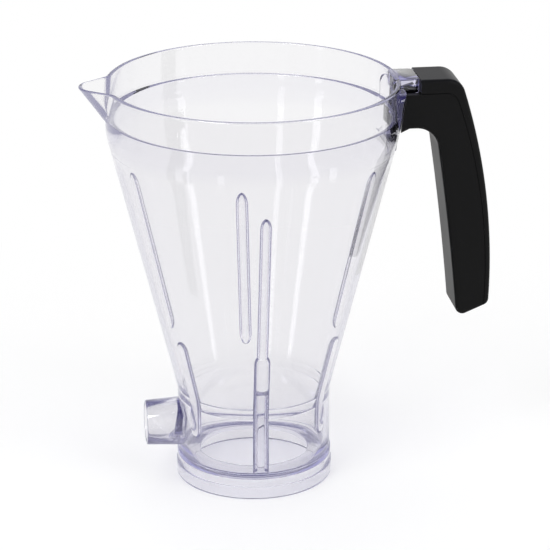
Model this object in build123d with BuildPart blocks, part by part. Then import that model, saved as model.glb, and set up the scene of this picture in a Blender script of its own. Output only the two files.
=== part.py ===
"""Clear blender jug: ribbed tapered body with spout and outlet stub, and a two-piece black handle.

Frame: the jug stands on Z = 0 with its axis on Z. The handle points to +X, the spout and the stub to -X.
"""

import os
from math import atan, cos, degrees, radians, sin, tan

from build123d import *

# Jug heights from the base plane, and depths from the rim
jug_height = 222.0
band_depth = 26.9
lid_seat_depth = 17.5
inner_kink_depth = 35.0
neck_top_z = 50.3
flange_top_z = 14.0
flange_thickness = 3.0
base_ring_height = 14.6
foot_height = 7.3

# Jug radii and walls
rim_radius = 77.5
neck_radius = 41.5
base_ring_step = 0.5
foot_step = 0.5
wall = 2.6
neck_wall = 3.2
rim_wall = 2.3
base_wall = 3.3
flange_width = 9.0
neck_bevel_height = 5.6

# Pouring spout, a beak in the rim
spout_overhang = 14.2
spout_half_angle = 37.4
spout_tip_radius = 11.0
spout_root_length = 33.0
spout_depth = 19.5
spout_wall = 2.4

# Outlet stub on the neck, under the spout
stub_z = 30.5
stub_length = 18.0
stub_root_radius = 13.3
stub_tip_radius = 12.2
stub_wall = 2.0

# Half-round ribs on the inside of the cone, at angles about Z from +X
upper_rib_angles = (-155.0, -102.0, -40.0)
upper_rib_gap = 2.5
upper_rib_length = 90.5
long_rib_angle = -92.0
long_rib_depth = 53.0
long_rib_length = 88.0
rib_radius = 3.2
rib_height = 2.6
rib_run_out = 6.5

# Flat ribs up the neck, each with a round pillar on the flange
lower_rib_angles = (-149.0, -92.0, -35.0)
lower_rib_rise = 36.7
lower_rib_width = 8.7
lower_rib_height = 2.0
lower_rib_run_out = 6.0
pillar_rise = 10.5
pillar_radius = 3.5
pillar_height = 4.0

# Clear bracket on the rim that carries the handle
saddle_width = 50.0
saddle_height = 31.0
saddle_depth = 5.0
saddle_thickness = 3.2
saddle_foot_inset = 0.8
saddle_corner_radius = 6.0
tab_length = 9.4
tab_width = 22.0
tab_height = 7.6
boss_length = 18.5
boss_width = 13.0
boss_height = 14.0
fit_clearance = 0.2

# Handle, drawn as a side view outwards and down from the rim
handle_width = 28.5
arm_height = 26.5
arm_flare_length = 4.0
arm_flare_drop = 3.0
shoulder_out = 31.0
shoulder_radius = 10.0
heel_out = 49.2
heel_depth = 126.8
heel_radius = 4.0
back_bow = 6.2
toe_out = 31.6
toe_depth = 134.2
toe_radius = 4.0
front_bow = 1.0
crook_out = 17.9
crook_radius = 12.0
handle_edge_radius = 2.5
cover_thickness = 3.2
seam_width = 0.4
seam_depth = 0.6

# Cone, bores and heights that follow from the sizes above
cone_top_z = jug_height - band_depth
cone_slope = (rim_radius - neck_radius) / (cone_top_z - neck_top_z)
cone_angle = atan(cone_slope)
cone_wall = wall / cos(cone_angle)
neck_bore_radius = neck_radius - neck_wall
neck_bore_top_z = neck_top_z + (cone_wall - neck_wall) / cone_slope
neck_bevel_top_z = neck_bore_top_z + neck_bevel_height / 2
rim_bore_radius = rim_radius - rim_wall
blade_opening_radius = neck_bore_radius - flange_width
socket_radius = neck_radius + base_ring_step + foot_step - base_wall
inner_kink_z = jug_height - inner_kink_depth
lower_rib_top_z = neck_top_z + lower_rib_rise
arm_z = jug_height - arm_height
seam_z = jug_height - tab_height
saddle_top_z = jug_height - saddle_depth

# Alignments for solids that grow from one end
upwards = (Align.CENTER, Align.CENTER, Align.MIN)
outwards_down = (Align.MIN, Align.CENTER, Align.MAX)


def inner_radius(z):
    """Radius of the cone's inside face at height z."""
    return neck_radius - cone_wall + (z - neck_top_z) * cone_slope


def beak(tip_x, z):
    """Plan of the spout at height z, with its rounded tip at -tip_x."""
    apex_x = tip_x + spout_tip_radius * (1 / sin(radians(spout_half_angle)) - 1)
    root_x = tip_x - spout_root_length
    half_width = (apex_x - root_x) * tan(radians(spout_half_angle))
    with BuildSketch(Plane.XY.offset(z)) as plan:
        with BuildLine():
            Polyline((-apex_x, 0), (-root_x, half_width), (-root_x, -half_width), close=True)
        make_face()
        fillet(plan.vertices().sort_by(Axis.X)[0], spout_tip_radius)
    return plan.sketch


def cone_rib(bottom_z, top_z):
    """Half-round rib with tapered ends along the inside of the cone, in the +X half plane."""
    middle_z = (bottom_z + top_z) / 2
    straight = (top_z - bottom_z) / cos(cone_angle) - 2 * rib_run_out
    middle = (inner_radius(middle_z) + (rib_radius - rib_height) / cos(cone_angle), 0, middle_z)
    with BuildPart() as rib:
        Cylinder(rib_radius, straight)
        with Locations(Location((0, 0, straight / 2)), Location((0, 0, -straight / 2), (180, 0, 0))):
            Cone(rib_radius, 0, rib_run_out, align=upwards)
    return rib.part.moved(Location(middle, (0, degrees(cone_angle), 0)))


def grip_side(inset, top_z):
    """Side view of the space in front of the cover, with the back moved in by inset."""
    shoulder = Vector(rim_radius + shoulder_out - inset, top_z)
    heel = Vector(rim_radius + heel_out - inset, jug_height - heel_depth)
    below_toe = jug_height - toe_depth - handle_width
    with BuildSketch(Plane.XZ) as side:
        with BuildLine():
            Line((0, top_z), shoulder)
            ThreePointArc(shoulder, (shoulder + heel) / 2 + Vector(back_bow, 0), heel)
            Polyline(heel, (heel.X, below_toe), (0, below_toe), (0, top_z))
        make_face()
        fillet(side.vertices().sort_by_distance((shoulder.X, shoulder.Y))[0], shoulder_radius - inset)
    return side.sketch


def saddle(clearance):
    """Slanting plate round the wall behind the handle, grown by clearance."""
    foot_radius = rim_radius - saddle_foot_inset + clearance
    top_radius = rim_radius + saddle_thickness + clearance
    middle_z = saddle_top_z - saddle_height / 2
    with BuildPart() as plate:
        with BuildSketch(Plane.YZ.offset(rim_radius / 2)):
            with Locations((0, middle_z)):
                RectangleRounded(saddle_width, saddle_height, saddle_corner_radius)
        extrude(amount=rim_radius)
        with Locations((0, 0, saddle_top_z - saddle_height)):
            Cone(foot_radius, top_radius, saddle_height, align=upwards, mode=Mode.INTERSECT)
    return plate.part


# Ribs in the +X half plane, to be turned to their angles
upper_rib = cone_rib(inner_kink_z - upper_rib_gap - upper_rib_length, inner_kink_z - upper_rib_gap)
long_rib_top_z = jug_height - long_rib_depth
long_rib = cone_rib(long_rib_top_z - long_rib_length, long_rib_top_z)
with BuildPart() as lower_rib:
    run_out_z = lower_rib_top_z - lower_rib_run_out
    with BuildSketch(Plane.XZ):
        with BuildLine():
            Polyline(
                (neck_radius, flange_top_z),
                (neck_radius, neck_top_z),
                (inner_radius(lower_rib_top_z) + wall, lower_rib_top_z),
                (inner_radius(lower_rib_top_z), lower_rib_top_z),
                (inner_radius(run_out_z) - lower_rib_height, run_out_z),
                (neck_bore_radius - lower_rib_height, neck_bore_top_z),
                (neck_bore_radius - lower_rib_height, flange_top_z),
                close=True,
            )
        make_face()
    extrude(amount=lower_rib_width / 2, both=True)
    with Locations((neck_bore_radius - pillar_height + pillar_radius, 0, flange_top_z)):
        Cylinder(pillar_radius, neck_top_z + pillar_rise - flange_top_z, align=upwards)

# Space inside the jug: the bowl less its ribs, then the openings at the base, the spout and the stub
with BuildPart() as cavity:
    with BuildSketch(Plane.XZ):
        with BuildLine():
            Polyline(
                (0, flange_top_z),
                (neck_bore_radius, flange_top_z),
                (neck_bore_radius, neck_bevel_top_z - neck_bevel_height),
                (inner_radius(neck_bevel_top_z), neck_bevel_top_z),
                (inner_radius(inner_kink_z), inner_kink_z),
                (inner_radius(inner_kink_z), jug_height - lid_seat_depth),
                (rim_bore_radius, jug_height - lid_seat_depth),
                (rim_bore_radius, jug_height),
                (0, jug_height),
                close=True,
            )
        make_face()
    revolve(axis=Axis.Z)
    for angle in upper_rib_angles:
        add(upper_rib, rotation=(0, 0, angle), mode=Mode.SUBTRACT)
    add(long_rib, rotation=(0, 0, long_rib_angle), mode=Mode.SUBTRACT)
    for angle in lower_rib_angles:
        add(lower_rib.part, rotation=(0, 0, angle), mode=Mode.SUBTRACT)
    Cylinder(blade_opening_radius, flange_top_z, align=upwards)
    Cylinder(socket_radius, flange_top_z - flange_thickness, align=upwards)
    channel_root = beak(rim_radius - spout_wall, jug_height - spout_depth + spout_wall)
    loft([channel_root, beak(rim_radius + spout_overhang - spout_wall, jug_height)])
    with Locations(Location((-neck_radius - stub_length, 0, stub_z), (0, 90, 0))):
        Cylinder(stub_tip_radius - stub_wall, stub_length + neck_wall + flange_width, align=upwards)

# Jug body: one clear moulding with its spout, stub and handle bracket
with BuildPart() as jug_body:
    with BuildSketch(Plane.XZ):
        with BuildLine():
            Polyline(
                (0, 0),
                (neck_radius + base_ring_step + foot_step, 0),
                (neck_radius + base_ring_step + foot_step, foot_height),
                (neck_radius + base_ring_step, foot_height),
                (neck_radius + base_ring_step, base_ring_height),
                (neck_radius, base_ring_height),
                (neck_radius, neck_top_z),
                (rim_radius, cone_top_z),
                (rim_radius, jug_height),
                (0, jug_height),
                close=True,
            )
        make_face()
    revolve(axis=Axis.Z)
    loft([beak(rim_radius, jug_height - spout_depth), beak(rim_radius + spout_overhang, jug_height)])
    with Locations(Location((-neck_radius - stub_length, 0, stub_z), (0, 90, 0))):
        Cone(stub_tip_radius, stub_root_radius, stub_length + neck_wall, align=upwards)
    add(saddle(0))
    with Locations((rim_bore_radius, 0, jug_height)):
        Box(rim_wall + tab_length, tab_width, tab_height, align=outwards_down)
    with Locations((rim_bore_radius, 0, seam_z)):
        Box(rim_wall + boss_length, boss_width, boss_height, align=outwards_down)
    add(cavity.part, mode=Mode.SUBTRACT)
jug_body.part.label = "jug_body"

# Handle: one outline, divided into a grip and a cover along the seam
shoulder_point = Vector(rim_radius + shoulder_out, jug_height)
heel_point = Vector(rim_radius + heel_out, jug_height - heel_depth)
toe_point = Vector(rim_radius + toe_out, jug_height - toe_depth)
crook_point = Vector(rim_radius + crook_out, arm_z)
flare_point = Vector(rim_radius + arm_flare_length, arm_z)
flare_end = Vector(rim_bore_radius, arm_z - arm_flare_drop)
with BuildPart() as handle_blank:
    with BuildSketch(Plane.XZ) as outline:
        with BuildLine():
            Line((rim_bore_radius, jug_height), shoulder_point)
            ThreePointArc(shoulder_point, (shoulder_point + heel_point) / 2 + Vector(back_bow, 0), heel_point)
            Line(heel_point, toe_point)
            ThreePointArc(toe_point, (toe_point + crook_point) / 2 + Vector(front_bow, 0), crook_point)
            Polyline(crook_point, flare_point, flare_end, (rim_bore_radius, jug_height))
        make_face()
        for corner, radius in (
            (shoulder_point, shoulder_radius),
            (heel_point, heel_radius),
            (toe_point, toe_radius),
            (crook_point, crook_radius),
        ):
            fillet(outline.vertices().sort_by_distance((corner.X, corner.Y))[0], radius)
    extrude(amount=handle_width / 2, both=True)
    fillet(handle_blank.faces().filter_by(Axis.Y).edges(), handle_edge_radius)

with BuildPart() as grip_core:
    extrude(grip_side(cover_thickness, seam_z), amount=handle_width, both=True)

with BuildPart() as seam_groove:
    extrude(grip_side(cover_thickness - seam_width, seam_z + seam_width), amount=handle_width, both=True)
    Box(4 * jug_height, handle_width - 2 * seam_depth, 4 * jug_height, mode=Mode.SUBTRACT)

with BuildPart() as bracket_room:
    Cylinder(rim_radius + fit_clearance, jug_height, align=upwards)
    add(saddle(fit_clearance))
    with Locations((0, 0, jug_height)):
        Box(rim_radius + tab_length + fit_clearance, handle_width, tab_height, align=outwards_down)
    with Locations((0, 0, seam_z)):
        Box(
            rim_radius + boss_length + fit_clearance,
            boss_width + 2 * fit_clearance,
            boss_height + fit_clearance,
            align=outwards_down,
        )

with BuildPart() as handle_grip:
    add(handle_blank.part)
    add(grip_core.part, mode=Mode.INTERSECT)
    add(bracket_room.part, mode=Mode.SUBTRACT)
handle_grip.part.label = "handle_grip"

with BuildPart() as handle_cover:
    add(handle_blank.part)
    add(grip_core.part, mode=Mode.SUBTRACT)
    add(seam_groove.part, mode=Mode.SUBTRACT)
    add(bracket_room.part, mode=Mode.SUBTRACT)
handle_cover.part.label = "handle_cover"

os.makedirs("parts", exist_ok=True)
export_step(jug_body.part, "parts/jug_body.step")
export_step(handle_grip.part, "parts/handle_grip.step")
export_step(handle_cover.part, "parts/handle_cover.step")
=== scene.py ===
"""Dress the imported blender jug: a clear moulded jug, a black two-piece handle and a white studio."""

from __future__ import annotations

import logging
import math
from dataclasses import dataclass
from enum import Enum
from typing import Any

import bmesh
import bpy
import numpy as np
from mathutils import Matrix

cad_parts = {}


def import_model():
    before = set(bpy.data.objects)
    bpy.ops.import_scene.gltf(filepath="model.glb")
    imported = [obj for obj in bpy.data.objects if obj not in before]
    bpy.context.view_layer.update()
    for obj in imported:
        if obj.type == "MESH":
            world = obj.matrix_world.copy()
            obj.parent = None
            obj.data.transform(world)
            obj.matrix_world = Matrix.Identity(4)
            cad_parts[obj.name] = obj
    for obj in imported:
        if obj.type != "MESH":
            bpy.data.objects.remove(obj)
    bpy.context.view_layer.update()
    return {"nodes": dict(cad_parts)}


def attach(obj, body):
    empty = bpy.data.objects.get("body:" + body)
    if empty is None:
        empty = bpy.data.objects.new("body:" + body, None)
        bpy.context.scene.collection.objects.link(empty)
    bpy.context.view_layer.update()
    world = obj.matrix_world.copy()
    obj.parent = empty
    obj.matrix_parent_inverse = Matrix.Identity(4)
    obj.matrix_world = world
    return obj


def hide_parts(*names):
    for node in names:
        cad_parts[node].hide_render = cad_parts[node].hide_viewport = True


LOG = logging.getLogger("blender_jug")
MM = 0.001
WHITE = (1.0, 1.0, 1.0, 1.0)
CORNER_STEPS = 8
RIB_STEPS = 20
PILLAR_SIDES = 48
TUBE_SIDES = 96
# Where the middle point of an edge rounded with three points lies, as a share of its radius
EDGE_MIDDLE = 0.3
# Where the sections of a rib's rounded end lie, in degrees of its quarter circle
RIB_END_TURNS = np.linspace(8, 90, 10)


class Join(Enum):
    """How a helper body is joined to the jug's wall."""

    ADD = "UNION"
    CUT = "DIFFERENCE"


class NodeBuilder:
    """Adds nodes to one tree and links them, so that trees read like formulas."""

    def __init__(self, tree: bpy.types.NodeTree) -> None:
        """Keep the tree that the nodes go into."""
        self.tree = tree

    def feed(self, socket: bpy.types.NodeSocket, value: Any) -> None:
        """Link a socket to an input, or set the input's own value.

        Args:
            socket: The input socket.
            value: An output socket, or a plain value.
        """
        if isinstance(value, bpy.types.NodeSocket):
            self.tree.links.new(value, socket)
        else:
            socket.default_value = value

    def add(self, kind: str, inputs: dict[str, Any] | None = None, **settings: Any) -> bpy.types.Node:
        """Add one node.

        Args:
            kind: The node's type name.
            inputs: Values or sockets for its inputs, by input name.
            **settings: Properties of the node itself.

        Returns:
            The new node.
        """
        node = self.tree.nodes.new(kind)
        for name, value in settings.items():
            setattr(node, name, value)
        for name, value in (inputs or {}).items():
            self.feed(node.inputs[name], value)
        return node

    def math(self, operation: str, first: Any, second: Any = 0.0) -> bpy.types.NodeSocket:
        """Add a Math node.

        Args:
            operation: The operation's name.
            first: First value or socket.
            second: Second value or socket.

        Returns:
            The result socket.
        """
        node = self.add("ShaderNodeMath", operation=operation)
        self.feed(node.inputs[0], first)
        if len(node.inputs) > 1 and node.inputs[1].enabled:
            self.feed(node.inputs[1], second)
        return node.outputs[0]

    def vector(self, operation: str, first: Any, second: Any = None, scale: Any = None) -> bpy.types.Node:
        """Add a Vector Math node.

        Args:
            operation: The operation's name.
            first: First vector or socket.
            second: Second vector or socket, where the operation has one.
            scale: The factor of a Scale operation.

        Returns:
            The node, whose Vector or Value output is used.
        """
        node = self.add("ShaderNodeVectorMath", operation=operation)
        self.feed(node.inputs[0], first)
        if second is not None:
            self.feed(node.inputs[1], second)
        if scale is not None:
            self.feed(node.inputs["Scale"], scale)
        return node

    def mix_shader(self, factor: Any, first: Any, second: Any) -> bpy.types.NodeSocket:
        """Mix two shaders.

        Args:
            factor: Share of the second shader.
            first: The shader at factor 0.
            second: The shader at factor 1.

        Returns:
            The mixed shader's socket.
        """
        node = self.add("ShaderNodeMixShader")
        for socket, value in zip(node.inputs, (factor, first, second)):
            self.feed(socket, value)
        return node.outputs[0]

    def map_range(
        self, value: Any, span: tuple[float, float], result: tuple[float, float], kind: str = "LINEAR"
    ) -> bpy.types.NodeSocket:
        """Map a value from one range to another.

        Args:
            value: The value or socket.
            span: The range that it comes from.
            result: The range that it goes to.
            kind: The interpolation's name.

        Returns:
            The mapped value's socket.
        """
        node = self.add("ShaderNodeMapRange", {"Value": value}, interpolation_type=kind)
        for label, number in zip(("From Min", "From Max", "To Min", "To Max"), (*span, *result)):
            self.feed(node.inputs[label], number)
        return node.outputs[0]


class ShapeTree:
    """A Geometry Nodes tree with named inputs, built once and applied to a mesh."""

    def __init__(self, name: str, sockets: dict[str, str]) -> None:
        """Start the tree.

        Args:
            name: The tree's name.
            sockets: The inputs after Geometry and Material, as name to socket type.
        """
        self.tree = bpy.data.node_groups.new(name, "GeometryNodeTree")
        face = self.tree.interface
        face.new_socket(name="Geometry", in_out="OUTPUT", socket_type="NodeSocketGeometry")
        face.new_socket(name="Geometry", in_out="INPUT", socket_type="NodeSocketGeometry")
        face.new_socket(name="Material", in_out="INPUT", socket_type="NodeSocketMaterial")
        for label, kind in sockets.items():
            face.new_socket(name=label, in_out="INPUT", socket_type=kind)
        self.nodes = NodeBuilder(self.tree)
        self.inputs = self.nodes.add("NodeGroupInput").outputs

    def close(self, geometry: bpy.types.NodeSocket) -> None:
        """End the tree in Realize Instances and Set Material.

        Args:
            geometry: The finished geometry.
        """
        real = self.nodes.add("GeometryNodeRealizeInstances", {"Geometry": geometry})
        dressed = self.nodes.add(
            "GeometryNodeSetMaterial", {"Geometry": real.outputs[0], "Material": self.inputs["Material"]}
        )
        self.nodes.add("NodeGroupOutput", {"Geometry": dressed.outputs[0]})

    def apply(self, mesh: bpy.types.Mesh, values: dict[str, Any]) -> bpy.types.Mesh:
        """Run the tree on a mesh.

        Args:
            mesh: The mesh to start from. It is used up.
            values: The named inputs.

        Returns:
            The resulting plain mesh.
        """
        holder = new_object("shape_work", mesh)
        modifier = holder.modifiers.new(self.tree.name, "NODES")
        modifier.node_group = self.tree
        for item in self.tree.interface.items_tree:
            if item.in_out == "INPUT" and item.name in values:
                modifier[item.identifier] = values[item.name]
        return take_result(holder)


def new_object(name: str, mesh: bpy.types.Mesh) -> bpy.types.Object:
    """Put a mesh in the scene as an object at the origin.

    Args:
        name: The object's name.
        mesh: Its mesh.

    Returns:
        The new object.
    """
    thing = bpy.data.objects.new(name, mesh)
    bpy.context.scene.collection.objects.link(thing)
    return thing


def take_result(holder: bpy.types.Object) -> bpy.types.Mesh:
    """Turn an object with modifiers into a plain mesh and remove the object.

    Args:
        holder: The object to evaluate.

    Returns:
        The evaluated mesh.
    """
    graph = bpy.context.evaluated_depsgraph_get()
    graph.update()
    mesh = bpy.data.meshes.new_from_object(holder.evaluated_get(graph))
    drop(holder)
    return mesh


def drop(thing: bpy.types.Object) -> None:
    """Remove a helper object and its mesh."""
    mesh = thing.data
    bpy.data.objects.remove(thing)
    bpy.data.meshes.remove(mesh)


def points_mesh(name: str, points: list[tuple[float, float, float]]) -> bpy.types.Mesh:
    """Make a mesh of points alone.

    Args:
        name: The mesh's name.
        points: The points in order.

    Returns:
        The mesh.
    """
    mesh = bpy.data.meshes.new(name)
    mesh.from_pydata(points, [], [])
    return mesh


def rounded_corner(
    before: np.ndarray, corner: np.ndarray, after: np.ndarray, radius: float, steps: int
) -> list[np.ndarray]:
    """Points of the arc that rounds one corner of a section.

    Args:
        before: The point before the corner.
        corner: The corner.
        after: The point after the corner.
        radius: The rounding radius. Zero keeps the corner.
        steps: The number of spans along the arc.

    Returns:
        The arc's points, or the corner alone.
    """
    if radius <= 0:
        return [corner]
    back = (before - corner) / np.linalg.norm(before - corner)
    ahead = (after - corner) / np.linalg.norm(after - corner)
    half = 0.5 * math.acos(float(np.clip(np.dot(back, ahead), -1, 1)))
    reach = radius / math.tan(half)
    middle = (back + ahead) / np.linalg.norm(back + ahead)
    centre = corner + middle * radius / math.sin(half)
    first, last = corner + back * reach - centre, corner + ahead * reach - centre
    turn = math.acos(float(np.clip(np.dot(first, last) / radius**2, -1, 1)))
    arc = []
    for i in range(steps + 1):
        share = i / steps
        mix = (math.sin((1 - share) * turn) * first + math.sin(share * turn) * last) / math.sin(turn)
        arc.append(centre + mix)
    return arc


def new_material(name: str) -> tuple[bpy.types.Material, NodeBuilder]:
    """Make a material with an empty node tree.

    Args:
        name: The material's name.

    Returns:
        The material and the builder for its nodes.
    """
    made = bpy.data.materials.new(name)
    made.use_nodes = True
    made.node_tree.nodes.clear()
    return made, NodeBuilder(made.node_tree)


@dataclass(frozen=True)
class Grain:
    """Fine unevenness of a moulded surface. Lengths in metres."""

    size: float
    depth: float
    strength: float
    roughness_change: float

    def lay(
        self, build: NodeBuilder, surface: bpy.types.NodeTree, roughness: float
    ) -> dict[str, bpy.types.NodeSocket]:
        """Put the shared moulded-surface group into a material.

        Args:
            build: The material's node builder.
            surface: The group.
            roughness: The material's mean roughness.

        Returns:
            The shader's Roughness and Normal.
        """
        group = build.add(
            "ShaderNodeGroup",
            {
                "Position": build.add("ShaderNodeTexCoord").outputs["Object"],
                "Grain Size": self.size,
                "Roughness": roughness,
                "Roughness Change": self.roughness_change,
            },
            node_tree=surface,
        )
        bump = build.add(
            "ShaderNodeBump",
            {"Strength": self.strength, "Distance": self.depth, "Height": group.outputs["Height"]},
        )
        return {"Roughness": group.outputs["Roughness"], "Normal": bump.outputs["Normal"]}


@dataclass(frozen=True)
class ClearPlastic:
    """Polished clear styrene plastic with a faint violet-blue body colour."""

    ior: float = 1.57
    roughness: float = 0.02
    tint: tuple[float, float, float] = (0.976, 0.975, 0.965)
    body_colour: tuple[float, float, float] = (0.32, 0.29, 0.56)
    density: float = 32.0
    shadow_tint: tuple[float, float, float] = (0.86, 0.86, 0.87)
    edge_tint: tuple[float, float, float] = (0.45, 0.45, 0.56)
    edge_bounces: float = 2.5
    grain: Grain = Grain(size=0.030, depth=0.0002, strength=0.10, roughness_change=0.015)

    def material(self, surface: bpy.types.NodeTree) -> bpy.types.Material:
        """Build the material.

        Args:
            surface: The shared moulded-surface group.

        Returns:
            The material.
        """
        made, build = new_material("clear_plastic")
        shader = build.add(
            "ShaderNodeBsdfPrincipled",
            {
                "Base Color": (*self.tint, 1.0),
                "Metallic": 0.0,
                "IOR": self.ior,
                "Transmission Weight": 1.0,
                **self.grain.lay(build, surface, self.roughness),
            },
        )
        path = build.add("ShaderNodeLightPath").outputs
        body = self.with_edge_light(build, path, shader.outputs["BSDF"])
        lamp_light = build.add("ShaderNodeBsdfTransparent", {"Color": (*self.shadow_tint, 1.0)})
        mixed = build.mix_shader(path["Is Shadow Ray"], body, lamp_light.outputs["BSDF"])
        inside = build.add(
            "ShaderNodeVolumeAbsorption", {"Color": (*self.body_colour, 1.0), "Density": self.density}
        )
        build.add("ShaderNodeOutputMaterial", {"Surface": mixed, "Volume": inside.outputs["Volume"]})
        return made

    def with_edge_light(
        self, build: NodeBuilder, path: bpy.types.NodeOutputs, shader: bpy.types.NodeSocket
    ) -> bpy.types.NodeSocket:
        """Let light that runs round inside the wall leave it, tinted once, so that edges aren't black.

        Args:
            build: The material's node builder.
            path: The Light Path outputs.
            shader: The plain clear plastic.

        Returns:
            The shader with the edge light.
        """
        tinted = build.add("ShaderNodeBsdfTransparent", {"Color": (*self.edge_tint, 1.0)})
        untinted = build.add("ShaderNodeBsdfTransparent", {"Color": WHITE})
        tinted_before = build.math("GREATER_THAN", path["Transparent Depth"], 0.5)
        leaving = build.mix_shader(tinted_before, tinted.outputs["BSDF"], untinted.outputs["BSDF"])
        guided = build.math("GREATER_THAN", path["Glossy Depth"], self.edge_bounces)
        return build.mix_shader(guided, shader, leaving)


@dataclass(frozen=True)
class BlackPlastic:
    """Satin black moulded plastic."""

    name: str
    colour: tuple[float, float, float] = (0.0065, 0.0065, 0.0067)
    roughness: float = 0.34
    gloss: float = 0.06
    ior: float = 1.5
    grain: Grain = Grain(size=0.0009, depth=0.00002, strength=0.35, roughness_change=0.08)

    def material(self, surface: bpy.types.NodeTree) -> bpy.types.Material:
        """Build the material.

        Args:
            surface: The shared moulded-surface group.

        Returns:
            The material.
        """
        made, build = new_material(self.name)
        shader = build.add(
            "ShaderNodeBsdfPrincipled",
            {
                "Base Color": (*self.colour, 1.0),
                "IOR": self.ior,
                "Specular IOR Level": self.gloss,
                **self.grain.lay(build, surface, self.roughness),
            },
        )
        build.add("ShaderNodeOutputMaterial", {"Surface": shader.outputs["BSDF"]})
        return made


def moulded_surface() -> bpy.types.NodeTree:
    """Build the shader group for a moulded surface, shared by the clear and the black plastic.

    Returns:
        The group, with Height and Roughness outputs that change over the surface.
    """
    tree = bpy.data.node_groups.new("moulded_surface", "ShaderNodeTree")
    face = tree.interface
    face.new_socket(name="Position", in_out="INPUT", socket_type="NodeSocketVector")
    for label in ("Grain Size", "Roughness", "Roughness Change"):
        face.new_socket(name=label, in_out="INPUT", socket_type="NodeSocketFloat")
    face.new_socket(name="Height", in_out="OUTPUT", socket_type="NodeSocketFloat")
    face.new_socket(name="Roughness", in_out="OUTPUT", socket_type="NodeSocketFloat")
    build = NodeBuilder(tree)
    inputs = build.add("NodeGroupInput").outputs
    scale = build.math("DIVIDE", 1.0, inputs["Grain Size"])
    grain = build.add("ShaderNodeTexNoise", {"Vector": inputs["Position"], "Scale": scale, "Detail": 2.0})
    patches = build.add(
        "ShaderNodeTexNoise", {"Vector": inputs["Position"], "Scale": 40.0, "Detail": 3.0, "Roughness": 0.6}
    )
    change = build.math("SUBTRACT", patches.outputs[0], 0.5)
    change = build.math("MULTIPLY", change, inputs["Roughness Change"])
    rough = build.math("ADD", inputs["Roughness"], change)
    rough = build.math("MAXIMUM", rough, 0.0)
    build.add("NodeGroupOutput", {"Height": grain.outputs[0], "Roughness": rough})
    return tree


def skinned(name: str, loops: list[list[tuple[float, float, float]]]) -> bpy.types.Mesh:
    """Skin a row of equal loops into a closed body.

    Args:
        name: The mesh's name.
        loops: Loops of points in mm, all with the same number of points.

    Returns:
        The closed mesh, facing outwards.
    """
    body = bmesh.new()
    rings = [[body.verts.new([value * MM for value in spot]) for spot in loop] for loop in loops]
    for low, high in zip(rings, rings[1:]):
        for i, vert in enumerate(low):
            after = (i + 1) % len(low)
            body.faces.new((vert, low[after], high[after], high[i]))
    body.faces.new(list(reversed(rings[0])))
    body.faces.new(rings[-1])
    bmesh.ops.recalc_face_normals(body, faces=body.faces)
    mesh = bpy.data.meshes.new(name)
    body.to_mesh(mesh)
    body.free()
    return mesh


def rounded_rectangle(
    low_x: float, high_x: float, low_y: float, high_y: float, corner: float
) -> list[tuple[float, float]]:
    """Trace a rectangle with rounded corners.

    Args:
        low_x: Lowest first coordinate.
        high_x: Highest first coordinate.
        low_y: Lowest second coordinate.
        high_y: Highest second coordinate.
        corner: The corner radius.

    Returns:
        The outline's points in order.
    """
    points = []
    for x, y, start in (
        (high_x - corner, high_y - corner, 0),
        (low_x + corner, high_y - corner, 90),
        (low_x + corner, low_y + corner, 180),
        (high_x - corner, low_y + corner, 270),
    ):
        for step in range(CORNER_STEPS + 1):
            turn = math.radians(start + 90 * step / CORNER_STEPS)
            points.append((x + corner * math.cos(turn), y + corner * math.sin(turn)))
    return points


def repeat_tree() -> ShapeTree:
    """Build the tree that repeats a body around the jug's axis.

    Returns:
        The tree. Its Places object holds one point with a turn attribute for each copy.
    """
    shape = ShapeTree("repeat_around_axis", {"Places": "NodeSocketObject"})
    build, inputs = shape.nodes, shape.inputs
    places = build.add("GeometryNodeObjectInfo", {"Object": inputs["Places"]})
    turn = build.add("GeometryNodeInputNamedAttribute", {"Name": "turn"}, data_type="FLOAT")
    upright = build.add("ShaderNodeCombineXYZ", {"Z": turn.outputs["Attribute"]})
    rotation = build.add("FunctionNodeEulerToRotation", {"Euler": upright.outputs[0]})
    copies = build.add(
        "GeometryNodeInstanceOnPoints",
        {
            "Points": places.outputs["Geometry"],
            "Instance": inputs["Geometry"],
            "Rotation": rotation.outputs[0],
        },
    )
    shape.close(copies.outputs[0])
    return shape


def repeated(mesh: bpy.types.Mesh, angles: tuple[float, ...]) -> bpy.types.Mesh:
    """Repeat a body around the jug's axis.

    Args:
        mesh: The body in the +X half plane. It is used up.
        angles: Where the copies stand, in degrees about Z.

    Returns:
        All the copies in one mesh.
    """
    points = points_mesh("turns", [(0.0, 0.0, 0.0)] * len(angles))
    turns = points.attributes.new("turn", "FLOAT", "POINT")
    turns.data.foreach_set("value", [math.radians(a) for a in angles])
    places = new_object("turns", points)
    result = repeat_tree().apply(mesh, {"Places": places})
    drop(places)
    return result


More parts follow.
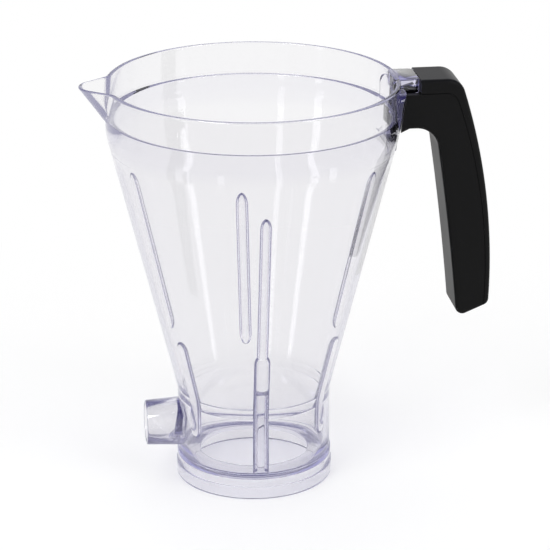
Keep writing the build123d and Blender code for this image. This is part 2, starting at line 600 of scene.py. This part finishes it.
@dataclass(frozen=True)
class WallRib:
    """A low domed rib that lies along the inside wall. Sizes in mm."""

    bottom: float
    top: float
    half_width: float
    rise: float
    run_out: float
    root: float = 0.9
    sink: float = 0.05
    bend_reach: float = 0.8

    def ring(self, scale: float) -> list[tuple[float, float]]:
        """Draw the rib's cross section.

        Args:
            scale: Size against the full section.

        Returns:
            Points as (sideways, inwards) in mm.
        """
        radius = (self.half_width**2 + self.rise**2) / (2 * self.rise)
        spread = math.asin(min(1.0, self.half_width / radius))
        arc = []
        for step in range(RIB_STEPS + 1):
            turn = spread * (2 * step / RIB_STEPS - 1)
            arc.append((radius * math.sin(turn), radius * math.cos(turn) - radius + self.rise - self.sink))
        arc += [(self.half_width, -self.root), (-self.half_width, -self.root)]
        return [(side * scale, inward * scale) for side, inward in arc]

    def bar(self, path: list[tuple[float, float]], round_foot: bool) -> bpy.types.Mesh:
        """Sweep the section along the wall in the +X half plane.

        Args:
            path: The wall's line as (radius, height) in mm, from the rib's foot to its top.
            round_foot: Round off the lower end as well as the upper one.

        Returns:
            The closed rib.
        """
        spots = np.array(path)
        lengths = np.concatenate(([0.0], np.cumsum(np.linalg.norm(np.diff(spots, axis=0), axis=1))))
        whole = lengths[-1]
        eased = [self.run_out * (1 - math.cos(math.radians(a))) for a in RIB_END_TURNS]
        marks = {whole - d for d in eased} | (set(eased) if round_foot else {0.0})
        marks |= set(lengths[1:-1])
        loops = []
        for mark in sorted(marks):
            behind, here, ahead = (
                np.array([np.interp(mark + shift, lengths, spots[:, k]) for k in (0, 1)])
                for shift in (-self.bend_reach, 0.0, self.bend_reach)
            )
            way = (ahead - behind) / np.linalg.norm(ahead - behind)
            inwards = np.array((-way[1], way[0]))
            to_end = min(whole - mark, mark if round_foot else self.run_out, self.run_out)
            scale = math.sqrt(max(0.0, 1 - (1 - to_end / self.run_out) ** 2))
            loop = []
            for side, inward in self.ring(scale):
                loop.append((here[0] + inwards[0] * inward, side, here[1] + inwards[1] * inward))
            loops.append(loop)
        return skinned("rib", loops)


@dataclass
class Jug:
    """The clear jug: a revolved wall with spout, inner ribs, outlet stub and handle bracket. Sizes in mm."""

    height: float = 222.0
    rim_radius: float = 77.5
    rim_bore: float = 75.2
    cone_top: float = 195.1
    neck_top: float = 50.3
    neck_radius: float = 41.5
    wall: float = 2.6
    neck_wall: float = 3.2
    neck_bevel: float = 5.6
    fold_line: tuple[float, float] = (0.6, 0.18)
    ring_steps: tuple[float, float] = (0.5, 1.0)
    seat_z: float = 204.5
    kink_z: float = 187.0
    flange_top: float = 14.0
    flange_under: float = 11.0
    ring_top: float = 14.6
    foot_top: float = 7.3
    opening_radius: float = 29.3
    socket_radius: float = 39.2
    spout_overhang: float = 14.2
    spout_half_angle: float = 37.4
    spout_tip: float = 11.0
    spout_depth: float = 19.5
    spout_wall: float = 2.4
    spout_blend: float = 1.2
    spout_reach: float = 42.0
    spout_fade: tuple[float, float] = (12.0, 10.0)
    upper_ribs: tuple[float, ...] = (-155.0, -102.0, -40.0)
    upper_rib: WallRib = WallRib(94.0, 184.5, 3.1, 2.1, 7.5)
    long_ribs: tuple[float, ...] = (-92.0,)
    long_rib: WallRib = WallRib(81.0, 169.0, 2.9, 2.6, 6.0)
    neck_ribs: tuple[float, ...] = (-92.0,)
    neck_rib: WallRib = WallRib(12.5, 87.0, 4.35, 1.8, 6.0)
    side_ribs: tuple[float, ...] = (-149.0, -35.0)
    side_rib: WallRib = WallRib(29.0, 87.0, 4.35, 2.2, 6.0)
    pillar_top: float = 60.8
    pillar_radius: float = 3.5
    pillar_height: float = 4.0
    pillar_edge: float = 0.25
    stub_z: float = 30.5
    stub_end: float = -59.5
    stub_root: float = 13.3
    stub_tip: float = 12.2
    stub_bore: float = 10.2
    stub_edges: tuple[float, float] = (0.6, 0.5)
    saddle_width: float = 50.0
    saddle_span: tuple[float, float] = (186.0, 217.0)
    saddle_reach: tuple[float, float] = (75.7, 80.7)
    saddle_corner: float = 6.0
    saddle_root: float = 1.3
    tab_end: float = 86.9
    tab_width: float = 22.0
    tab_height: float = 7.6
    boss_end: float = 96.0
    boss_width: float = 13.0
    boss_height: float = 14.0
    bracket_edge: float = 0.5
    sharp_angle: float = 38.0

    @property
    def slope(self) -> float:
        """Rise of the cone's radius with height."""
        return (self.rim_radius - self.neck_radius) / (self.cone_top - self.neck_top)

    @property
    def tilt(self) -> float:
        """Half angle of the cone, in radians."""
        return math.atan(self.slope)

    @property
    def neck_bore(self) -> float:
        """Inside radius of the neck."""
        return self.neck_radius - self.neck_wall

    @property
    def bevel_top(self) -> float:
        """Height at which the inside bevel between neck and cone ends."""
        kink = self.neck_top + (self.wall / math.cos(self.tilt) - self.neck_wall) / self.slope
        return kink + self.neck_bevel / 2

    def inner_radius(self, z: float) -> float:
        """Radius of the cone's inside face at a height."""
        return self.neck_radius - self.wall / math.cos(self.tilt) + (z - self.neck_top) * self.slope

    def outer_radius(self, z: float) -> float:
        """Radius of the wall's outside face at a height above the neck."""
        return min(self.neck_radius + (z - self.neck_top) * self.slope, self.rim_radius)

    def mould_line(
        self, radius: float, z: float, slope_above: float, slope_below: float
    ) -> list[tuple[float, float, float, int]]:
        """Make the fine raised line where the inside wall folds.

        Args:
            radius: Radius of the inside wall at the fold.
            z: Height of the fold.
            slope_above: Rise of the wall's radius with height above the fold.
            slope_below: The same below the fold.

        Returns:
            Corners as (radius, height, rounding, steps), from the top down.
        """
        half, raised = self.fold_line
        return [
            (radius + half * slope_above, z + half, 0.3, 2),
            (radius - raised, z, 0.3, 3),
            (radius - half * slope_below, z - half, 0.3, 2),
        ]

    def section(self) -> list[tuple[float, float]]:
        """Trace the wall's closed section, from the foot up the outside and down the inside.

        Returns:
            Points as (radius, height) in mm.
        """
        kink_r = self.inner_radius(self.kink_z)
        bevel = self.bevel_top
        ring_r, foot_r = (self.neck_radius + step for step in self.ring_steps)
        corners: list[tuple[float, float, float, int]] = [
            (self.socket_radius, 0.0, 0.5, 3),
            (foot_r, 0.0, 0.8, 4),
            (foot_r, self.foot_top, 0.25, 3),
            (ring_r, self.foot_top, 0.12, 2),
            (ring_r, self.ring_top, 0.25, 3),
            (self.neck_radius, self.ring_top, 0.12, 2),
            (self.neck_radius, self.neck_top, 24.0, 8),
            (self.rim_radius, self.cone_top, 30.0, 8),
            (self.rim_radius, self.height, 1.1, 6),
            (self.rim_bore, self.height, 0.8, 5),
            (self.rim_bore, self.seat_z, 0.4, 3),
            (kink_r, self.seat_z, 0.8, 4),
            *self.mould_line(kink_r, self.kink_z, 0.0, self.slope),
            *self.mould_line(self.inner_radius(bevel), bevel, self.slope, 0.5 * self.slope),
            *self.mould_line(self.neck_bore, bevel - self.neck_bevel, 0.5 * self.slope, 0.0),
            (self.neck_bore, self.flange_top, 0.3, 3),
            (self.opening_radius, self.flange_top, 0.5, 3),
            (self.opening_radius, self.flange_under, 0.35, 3),
            (self.socket_radius, self.flange_under, 0.5, 3),
        ]
        flat = [np.array(c[:2]) for c in corners]
        loop: list[np.ndarray] = []
        for i, (_, _, radius, steps) in enumerate(corners):
            after = flat[(i + 1) % len(flat)]
            loop += rounded_corner(flat[i - 1], flat[i], after, radius, steps)
        return self.divided(loop)

    def divided(self, loop: list[np.ndarray]) -> list[tuple[float, float]]:
        """Add rows where the spout and the long straight runs need them.

        Args:
            loop: The section's corner and arc points.

        Returns:
            The section with more rows, as (radius, height) in mm.
        """
        fine, plain, margin = 1.1, 8.0, 0.1
        spout_rows = np.arange(self.height - self.spout_depth - 1, self.height - 1, fine)
        seat_rows = np.arange(self.seat_z + 0.6, self.height - 1, fine)
        result: list[tuple[float, float]] = []
        for here, there in zip(loop, loop[1:] + loop[:1]):
            result.append((float(here[0]), float(here[1])))
            low, high = sorted((here[1], there[1]))
            if high - low < 2.0:
                continue
            if min(here[0], there[0]) > self.rim_radius - margin:
                rows = spout_rows
            elif max(abs(here[0] - self.rim_bore), abs(there[0] - self.rim_bore)) < margin:
                rows = seat_rows
            else:
                rows = np.linspace(low, high, max(2, round((high - low) / plain)) + 1)
            between = [z for z in rows if low + margin < z < high - margin]
            for z in sorted(between, reverse=here[1] > there[1]):
                share = (z - here[1]) / (there[1] - here[1])
                result.append((float(here[0] + share * (there[0] - here[0])), float(z)))
        return result

    def spokes(self) -> list[float]:
        """Choose the angles of the wall's vertical lines, close together at ribs and spout.

        Returns:
            Angles in degrees, rising, from -180 to under 180.
        """
        plain_step, spout_step, rib_step = 1.5, 0.8, 0.4
        spout_edge, rib_side, neck_rib_side = 138.0, 4.8, 7.2
        fine: list[tuple[float, float, float]] = [
            (-180.0, -spout_edge, spout_step),
            (spout_edge, 180.0, spout_step),
        ]
        for angle in self.upper_ribs + self.long_ribs:
            fine.append((angle - rib_side, angle + rib_side, rib_step))
        for angle in self.neck_ribs + self.side_ribs:
            fine.append((angle - neck_rib_side, angle + neck_rib_side, rib_step))
        lines: list[float] = []
        angle = -180.0
        while angle < 180.0 - 0.1:
            lines.append(angle)
            steps = [step for low, high, step in fine if low <= angle < high]
            nearest = min([low - angle for low, _, _ in fine if low > angle], default=plain_step)
            angle += min(steps) if steps else max(min(plain_step, nearest), rib_step)
        return lines

    def revolved_wall(self, material: bpy.types.Material) -> bpy.types.Mesh:
        """Revolve the section with a node tree.

        Args:
            material: The clear plastic.

        Returns:
            The closed wall, without spout or ribs.
        """
        shape = ShapeTree("revolved_wall", {"Spokes": "NodeSocketObject"})
        build, inputs = shape.nodes, shape.inputs
        spokes = build.add("GeometryNodeObjectInfo", {"Object": inputs["Spokes"]})
        around = build.add("GeometryNodeAttributeDomainSize", {"Geometry": spokes.outputs["Geometry"]})
        along = build.add("GeometryNodeAttributeDomainSize", {"Geometry": inputs["Geometry"]})
        n_around, n_along = around.outputs["Point Count"], along.outputs["Point Count"]
        rows = build.math("ADD", n_along, 1.0)
        grid = build.add(
            "GeometryNodeMeshGrid", {"Vertices X": build.math("ADD", n_around, 1.0), "Vertices Y": rows}
        )
        index = build.add("GeometryNodeInputIndex").outputs[0]
        spoke_i = build.math("FLOOR", build.math("DIVIDE", build.math("ADD", index, 0.5), rows))
        row_i = build.math("SUBTRACT", index, build.math("MULTIPLY", spoke_i, rows))
        place = build.add("GeometryNodeInputPosition").outputs[0]
        picked = []
        for source, count, which in (
            (inputs["Geometry"], n_along, row_i),
            (spokes.outputs["Geometry"], n_around, spoke_i),
        ):
            sample = build.add("GeometryNodeSampleIndex", data_type="FLOAT_VECTOR", domain="POINT")
            build.feed(sample.inputs["Geometry"], source)
            build.feed(sample.inputs["Value"], place)
            build.feed(sample.inputs["Index"], build.math("MODULO", which, count))
            picked.append(sample.outputs[0])
        split = build.add("ShaderNodeSeparateXYZ", {"Vector": picked[0]}).outputs
        flat = build.vector("SCALE", picked[1], scale=split["X"]).outputs["Vector"]
        lifted = build.add("ShaderNodeCombineXYZ", {"Z": split["Z"]}).outputs[0]
        placed = build.add(
            "GeometryNodeSetPosition",
            {
                "Geometry": grid.outputs["Mesh"],
                "Position": build.vector("ADD", flat, lifted).outputs["Vector"],
            },
        )
        merged = build.add("GeometryNodeMergeByDistance", {"Geometry": placed.outputs[0], "Distance": 1e-6})
        shape.close(merged.outputs[0])
        section = [(r * MM, 0.0, z * MM) for r, z in self.section()]
        turns = [(math.cos(math.radians(a)), math.sin(math.radians(a)), 0.0) for a in self.spokes()]
        fan = new_object("jug_spokes", points_mesh("jug_spokes", turns))
        loop = points_mesh("jug_section", section)
        mesh = shape.apply(loop, {"Spokes": fan, "Material": material})
        drop(fan)
        body = bmesh.new()
        body.from_mesh(mesh)
        bmesh.ops.recalc_face_normals(body, faces=body.faces)
        body.to_mesh(mesh)
        body.free()
        return mesh

    def beak_radius(self, turn: np.ndarray, tip: np.ndarray) -> np.ndarray:
        """Distance of the spout's plan from the jug's axis.

        Args:
            turn: Angle from the spout's middle, in radians, for each point.
            tip: Reach of the spout's tip at each point's height, in mm.

        Returns:
            The radius in mm, and zero away from the spout.
        """
        half = math.radians(self.spout_half_angle)
        centre = tip - self.spout_tip
        apex = centre + self.spout_tip / math.sin(half)
        swing = np.abs(turn)
        flank = apex * math.sin(half) / np.sin(np.clip(swing + half, 0.05, math.pi - 0.05))
        under = np.clip(self.spout_tip**2 - (centre * np.sin(swing)) ** 2, 0, None)
        nose = centre * np.cos(swing) + np.sqrt(under)
        touch = np.arctan2(self.spout_tip * math.cos(half), centre + self.spout_tip * math.sin(half))
        radius = np.where(swing < touch, nose, flank)
        return np.where(swing < math.radians(self.spout_reach), radius, 0.0)

    def pull_spout(self, mesh: bpy.types.Mesh) -> None:
        """Pull the rim out into the spout.

        Args:
            mesh: The revolved wall.
        """
        count = len(mesh.vertices)
        flat = np.empty(count * 3)
        mesh.vertices.foreach_get("co", flat)
        spots = flat.reshape(-1, 3) / MM
        radius = np.hypot(spots[:, 0], spots[:, 1])
        angle = np.arctan2(spots[:, 1], spots[:, 0])
        turn = np.where(angle >= 0, angle - math.pi, angle + math.pi)
        z = spots[:, 2]
        rise = (z - (self.height - self.spout_depth)) / self.spout_depth
        outer_tip = self.rim_radius + self.spout_overhang * rise
        low = self.height - self.spout_depth + self.spout_wall
        inner_rise = (z - low) / (self.height - low)
        inner_tip = self.rim_radius - self.spout_wall + self.spout_overhang * inner_rise
        moved = []
        for base, tip in ((self.rim_radius, outer_tip), (self.rim_bore, inner_tip)):
            beak = self.beak_radius(turn, np.maximum(tip, self.spout_tip))
            gap = beak - base
            soft = base + 0.5 * (gap + np.sqrt(gap**2 + self.spout_blend**2))
            lift = np.where(beak > 1.0, soft - base, 0.0)
            moved.append(lift * np.clip((gap + self.spout_fade[0]) / self.spout_fade[1], 0, 1))
        share = np.clip((radius - self.rim_bore) / (self.rim_radius - self.rim_bore), 0, 1)
        grow = share * moved[0] + (1 - share) * moved[1]
        ready = np.clip((z - self.seat_z + 1.9) / 1.5, 0, 1)
        grow = np.where((radius > self.rim_bore - 0.4) & (rise > -0.1), grow * ready, 0.0)
        factor = (radius + grow) / radius
        spots[:, 0] *= factor
        spots[:, 1] *= factor
        mesh.vertices.foreach_set("co", (spots * MM).ravel())
        mesh.update()

    def wall_path(self, rib: WallRib) -> list[tuple[float, float]]:
        """Follow the inside wall between a rib's ends.

        Args:
            rib: The rib.

        Returns:
            Points as (radius, height) in mm.
        """
        bends = (self.bevel_top - self.neck_bevel, self.bevel_top)
        heights = [rib.bottom, *(z for z in bends if rib.bottom < z < rib.top), rib.top]
        path = []
        for z in heights:
            radius = max(self.inner_radius(z), self.neck_bore) if z > bends[0] else self.neck_bore
            path.append((radius, z))
        return path

    def rib_bars(
        self, name: str, rib: WallRib, angles: tuple[float, ...], round_foot: bool
    ) -> bpy.types.Object:
        """Make one rib and repeat it around the wall.

        Args:
            name: The helper's name.
            rib: The rib's sizes.
            angles: Where the ribs stand, in degrees about Z.
            round_foot: Round off the lower end as well as the upper one.

        Returns:
            The helper object with all the ribs.
        """
        return new_object(name, repeated(rib.bar(self.wall_path(rib), round_foot), angles))

    def pillars(self) -> bpy.types.Object:
        """Make the round pillar on the flange, in front of the neck rib.

        Returns:
            The helper object.
        """
        middle = self.neck_bore - self.pillar_height + self.pillar_radius
        edge, top, full = self.pillar_edge, self.pillar_top, self.pillar_radius
        share = EDGE_MIDDLE * edge
        inside_flange = 0.5 * (self.flange_under + self.flange_top)
        rings = [(inside_flange, full), (top - edge, full), (top - share, full - share), (top, full - edge)]
        turns = [2 * math.pi * i / PILLAR_SIDES for i in range(PILLAR_SIDES)]
        loops = [[(middle + r * math.cos(a), r * math.sin(a), z) for a in turns] for z, r in rings]
        return new_object("pillars", repeated(skinned("pillar", loops), self.neck_ribs))

    def tube(self, name: str, rings: list[tuple[float, float]], z: float) -> bpy.types.Object:
        """Make a closed round body along X.

        Args:
            name: The helper's name.
            rings: (x, radius) of each ring, in mm.
            z: Height of its axis, in mm.

        Returns:
            The helper object.
        """
        turns = [2 * math.pi * i / TUBE_SIDES for i in range(TUBE_SIDES)]
        loops = [[(x, r * math.cos(a), z + r * math.sin(a)) for a in turns] for x, r in rings]
        return new_object(name, skinned(name, loops))

    def block(
        self, name: str, low: tuple[float, ...], high: tuple[float, ...], corner: float
    ) -> bpy.types.Object:
        """Make a closed block along X with rounded upright corners and softened edges.

        Args:
            name: The helper's name.
            low: Lowest corner, in mm.
            high: Highest corner, in mm.
            corner: Radius of the upright corners at the outer end, in mm.

        Returns:
            The helper object.
        """
        plan = rounded_rectangle(low[0] - corner, high[0], low[1], high[1], corner)
        middle = (0.5 * (low[0] - corner + high[0]), 0.5 * (low[1] + high[1]))
        half = (0.5 * (high[0] - low[0] + corner), 0.5 * (high[1] - low[1]))
        edge = self.bracket_edge
        share = EDGE_MIDDLE * edge
        loops = []
        for z, inset in (
            (low[2], edge),
            (low[2] + share, share),
            (low[2] + edge, 0.0),
            (high[2] - edge, 0.0),
            (high[2] - share, share),
            (high[2], edge),
        ):
            shrink = [(h - inset) / h for h in half]
            loop = []
            for x, y in plan:
                new_x = middle[0] + (x - middle[0]) * shrink[0]
                new_y = middle[1] + (y - middle[1]) * shrink[1]
                loop.append((new_x, new_y, z))
            loops.append(loop)
        return new_object(name, skinned(name, loops))

    def saddle(self) -> bpy.types.Object:
        """Make the slanting plate on the wall behind the handle.

        Returns:
            The helper object.
        """
        low, high = self.saddle_span
        middle, half = 0.5 * (low + high), 0.5 * (high - low)
        side = self.saddle_width / 2
        outline = rounded_rectangle(-side, side, -half, half, self.saddle_corner)

        def reach(y: float, z: float) -> float:
            """Distance of the plate's face along X."""
            share = (z - low) / (high - low)
            radius = self.saddle_reach[0] + share * (self.saddle_reach[1] - self.saddle_reach[0])
            return math.sqrt(radius**2 - y**2)

        def root(y: float, z: float) -> float:
            """Depth along X at which the plate is buried in the wall."""
            return math.sqrt((self.outer_radius(z) - self.saddle_root) ** 2 - y**2)

        loops = []
        for scale, drop_in, face in (
            (0.02, 0.0, root),
            (0.30, 0.0, root),
            (0.60, 0.0, root),
            (1.00, 0.0, root),
            (1.00, 0.45, reach),
            (0.994, 0.13, reach),
            (0.98, 0.0, reach),
            (0.80, 0.0, reach),
            (0.60, 0.0, reach),
            (0.40, 0.0, reach),
            (0.20, 0.0, reach),
            (0.02, 0.0, reach),
        ):
            loop = [(y * scale, middle + z * scale) for y, z in outline]
            loops.append([(face(y, z) - drop_in, y, z) for y, z in loop])
        return new_object("saddle", skinned("saddle", loops))

    def joined(self, mesh: bpy.types.Mesh) -> bpy.types.Mesh:
        """Join ribs, stub and handle bracket to the wall, and bore the stub.

        Args:
            mesh: The wall with its spout.

        Returns:
            One closed mesh.
        """
        end, root = self.stub_end, -self.neck_bore - 0.8
        tip, bore = self.stub_tip, self.stub_bore
        edge, lip = self.stub_edges
        stub_rings = [(end, tip - edge), (end + EDGE_MIDDLE * edge, tip - EDGE_MIDDLE * edge)]
        stub_rings += [(end + edge, tip), (root, self.stub_root)]
        bore_rings = [(end - 2.0, bore + lip), (end, bore + lip)]
        bore_rings += [(end + EDGE_MIDDLE * lip, bore + EDGE_MIDDLE * lip), (end + lip, bore)]
        bore_rings.append((root + 9.0, bore))
        start, under = self.rim_bore + 1.0, self.height - self.tab_height
        tab_half, boss_half = self.tab_width / 2, self.boss_width / 2
        tab = self.block("tab", (start, -tab_half, under), (self.tab_end, tab_half, self.height), 3.0)
        boss_low = (start, -boss_half, under - self.boss_height)
        boss = self.block("boss", boss_low, (self.boss_end, boss_half, under + 1.0), 1.0)
        tools = [
            (self.rib_bars("neck_ribs", self.neck_rib, self.neck_ribs, False), Join.ADD),
            (self.rib_bars("side_ribs", self.side_rib, self.side_ribs, True), Join.ADD),
            (self.pillars(), Join.ADD),
            (self.rib_bars("upper_ribs", self.upper_rib, self.upper_ribs, True), Join.ADD),
            (self.rib_bars("long_rib", self.long_rib, self.long_ribs, True), Join.ADD),
            (self.saddle(), Join.ADD),
            (tab, Join.ADD),
            (boss, Join.ADD),
            (self.tube("stub", stub_rings, self.stub_z), Join.ADD),
            (self.tube("stub_bore", bore_rings, self.stub_z), Join.CUT),
        ]
        holder = new_object("jug_work", mesh)
        for tool, join in tools:
            step = holder.modifiers.new(tool.name, "BOOLEAN")
            step.object = tool
            step.operation = join.value
            step.solver = "MANIFOLD"
        result = take_result(holder)
        for tool, _ in tools:
            drop(tool)
        return result

    def build(self, material: bpy.types.Material) -> bpy.types.Object:
        """Build the finished jug.

        Args:
            material: The clear plastic.

        Returns:
            The jug's object, riding on the root body.
        """
        mesh = self.revolved_wall(material)
        self.pull_spout(mesh)
        mesh = self.joined(mesh)
        mesh.materials.clear()
        mesh.materials.append(material)
        mesh.polygons.foreach_set("material_index", [0] * len(mesh.polygons))
        mesh.shade_smooth()
        mesh.set_sharp_from_angle(angle=math.radians(self.sharp_angle))
        mesh.name = "clear_jug"
        jug = new_object("clear_jug", mesh)
        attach(jug, "root")
        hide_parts("jug_body")
        LOG.info("clear_jug: %d faces", len(mesh.polygons))
        return jug


@dataclass
class Handle:
    """The black handle: its grip and cover keep their CAD meshes and get the black finish."""

    grip: BlackPlastic
    cover: BlackPlastic

    def dress(self, nodes: dict[str, bpy.types.Object], surface: bpy.types.NodeTree) -> None:
        """Give both pieces their finish.

        Args:
            nodes: The CAD nodes by name.
            surface: The shared moulded-surface group.
        """
        for name, finish in (("handle_grip", self.grip), ("handle_cover", self.cover)):
            nodes[name].material_slots[0].material = finish.material(surface)
            LOG.info("%s: dressed", name)


@dataclass(frozen=True)
class Lamp:
    """A rectangular lamp that points at the jug. Lengths in metres, power in watts."""

    name: str
    place: tuple[float, float, float]
    size: tuple[float, float]
    power: float
    seen_through: bool = False

    def hang(self, target: tuple[float, float, float]) -> None:
        """Put the lamp in the scene.

        Args:
            target: The point that it shines at.
        """
        lamp = bpy.data.lights.new(self.name, "AREA")
        lamp.shape = "RECTANGLE"
        lamp.size, lamp.size_y = self.size
        lamp.energy = self.power
        hung = bpy.data.objects.new(self.name, lamp)
        hung.location = self.place
        hung.visible_transmission = self.seen_through
        aim = np.array(target) - np.array(self.place)
        flat = math.hypot(aim[0], aim[1])
        hung.rotation_euler = (math.atan2(flat, -aim[2]), 0.0, math.atan2(aim[1], aim[0]) - math.pi / 2)
        bpy.context.scene.collection.objects.link(hung)


@dataclass
class Studio:
    """White floor, white surroundings, soft lamps and the camera. Lengths in metres."""

    floor_size: float = 6.0
    floor_drop: float = 0.0002
    floor_paint: tuple[float, float, float] = (0.95, 0.95, 0.95)
    floor_glow: float = 0.25
    fade_span: tuple[float, float] = (0.10, 0.40)
    soft_light: float = 0.60
    overhead: tuple[float, float, float] = (0.17, 0.17, 0.36)
    overhead_span: tuple[float, float] = (0.20, 0.80)
    lamps: tuple[Lamp, ...] = (
        Lamp("key", (-1.1, -1.2, 1.6), (0.8, 0.8), 17.0),
        Lamp("fill", (1.1, -1.2, 1.6), (0.8, 0.8), 10.0),
        Lamp("back", (0.6, 1.5, 2.0), (2.0, 1.5), 11.0),
        Lamp("left_strip", (-1.25, -0.55, 0.45), (0.17, 1.3), 1.4, seen_through=True),
        Lamp("front_strip", (-0.75, -1.2, 0.45), (0.14, 1.2), 0.8, seen_through=True),
        Lamp("right_strip", (1.15, -0.75, 0.45), (0.17, 1.3), 1.3, seen_through=True),
    )
    lamp_target: tuple[float, float, float] = (0.0, 0.0, 0.12)
    camera_place: tuple[float, float, float] = (-0.16577, -1.26307, 0.58816)
    camera_turn: tuple[float, float, float] = (69.55, 0.0, -8.0)
    lens: float = 165.5
    sensor_width: float = 36.0

    def build(self) -> None:
        """Build everything around the object."""
        self.floor()
        self.surroundings()
        for lamp in self.lamps:
            lamp.hang(self.lamp_target)
        self.camera()

    def floor(self) -> None:
        """Lay a pale floor that keeps the shadow near the jug and turns plain white away from it."""
        half = self.floor_size / 2
        corners = [(-half, -half, 0), (half, -half, 0), (half, half, 0), (-half, half, 0)]
        mesh = bpy.data.meshes.new("floor")
        mesh.from_pydata(corners, [], [(0, 1, 2, 3)])
        floor = new_object("floor", mesh)
        floor.location.z = -self.floor_drop
        made, build = new_material("pale_floor")
        path = build.add("ShaderNodeLightPath").outputs
        seen = build.math("MAXIMUM", path["Is Camera Ray"], path["Is Glossy Ray"])
        seen = build.math("MAXIMUM", seen, path["Is Transmission Ray"])
        place = build.add("ShaderNodeTexCoord").outputs["Object"]
        distance = build.vector("LENGTH", place).outputs["Value"]
        fade = build.map_range(distance, self.fade_span, (self.floor_glow, 1.0))
        paint = build.add("ShaderNodeBsdfDiffuse", {"Color": (*self.floor_paint, 1.0)})
        glow = build.add("ShaderNodeEmission", {"Color": WHITE, "Strength": 1.0})
        mixed = build.mix_shader(build.math("MULTIPLY", seen, fade), paint.outputs[0], glow.outputs[0])
        build.add("ShaderNodeOutputMaterial", {"Surface": mixed})
        mesh.materials.append(made)

    def surroundings(self) -> None:
        """Make the world white near the horizon for seen rays, darker overhead, and plain for soft light."""
        world = bpy.data.worlds.new("studio")
        bpy.context.scene.world = world
        world.use_nodes = True
        world.node_tree.nodes.clear()
        build = NodeBuilder(world.node_tree)
        path = build.add("ShaderNodeLightPath").outputs
        seen = build.math("MAXIMUM", path["Is Glossy Ray"], path["Is Transmission Ray"])
        way = build.add("ShaderNodeTexCoord").outputs["Generated"]
        up = build.add("ShaderNodeSeparateXYZ", {"Vector": way}).outputs["Z"]
        shade = build.map_range(up, self.overhead_span, (0.0, 1.0), "SMOOTHSTEP")
        soft = build.add("ShaderNodeBackground", {"Color": WHITE, "Strength": self.soft_light})
        white = build.add("ShaderNodeBackground", {"Color": WHITE, "Strength": 1.0})
        dim = build.add("ShaderNodeBackground", {"Color": (*self.overhead, 1.0), "Strength": 1.0})
        around = build.mix_shader(shade, white.outputs[0], dim.outputs[0])
        lit = build.mix_shader(seen, soft.outputs[0], around)
        whole = build.mix_shader(path["Is Camera Ray"], lit, white.outputs[0])
        build.add("ShaderNodeOutputWorld", {"Surface": whole})

    def camera(self) -> None:
        """Stand the camera where the photograph was taken."""
        lens = bpy.data.cameras.new("camera")
        lens.lens = self.lens
        lens.sensor_fit = "HORIZONTAL"
        lens.sensor_width = self.sensor_width
        eye = bpy.data.objects.new("camera", lens)
        eye.location = self.camera_place
        eye.rotation_euler = tuple(math.radians(a) for a in self.camera_turn)
        bpy.context.scene.collection.objects.link(eye)
        bpy.context.scene.camera = eye


def main() -> None:
    """Load the frame, dress the jug and build the studio."""
    logging.basicConfig(level=logging.INFO, format="%(name)s: %(message)s")
    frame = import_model()
    bpy.context.scene.view_settings.view_transform = "Standard"
    surface = moulded_surface()
    Jug().build(ClearPlastic().material(surface))
    Handle(BlackPlastic("black_plastic"), BlackPlastic("black_cover")).dress(frame["nodes"], surface)
    Studio().build()


if __name__ == "__main__":
    main()
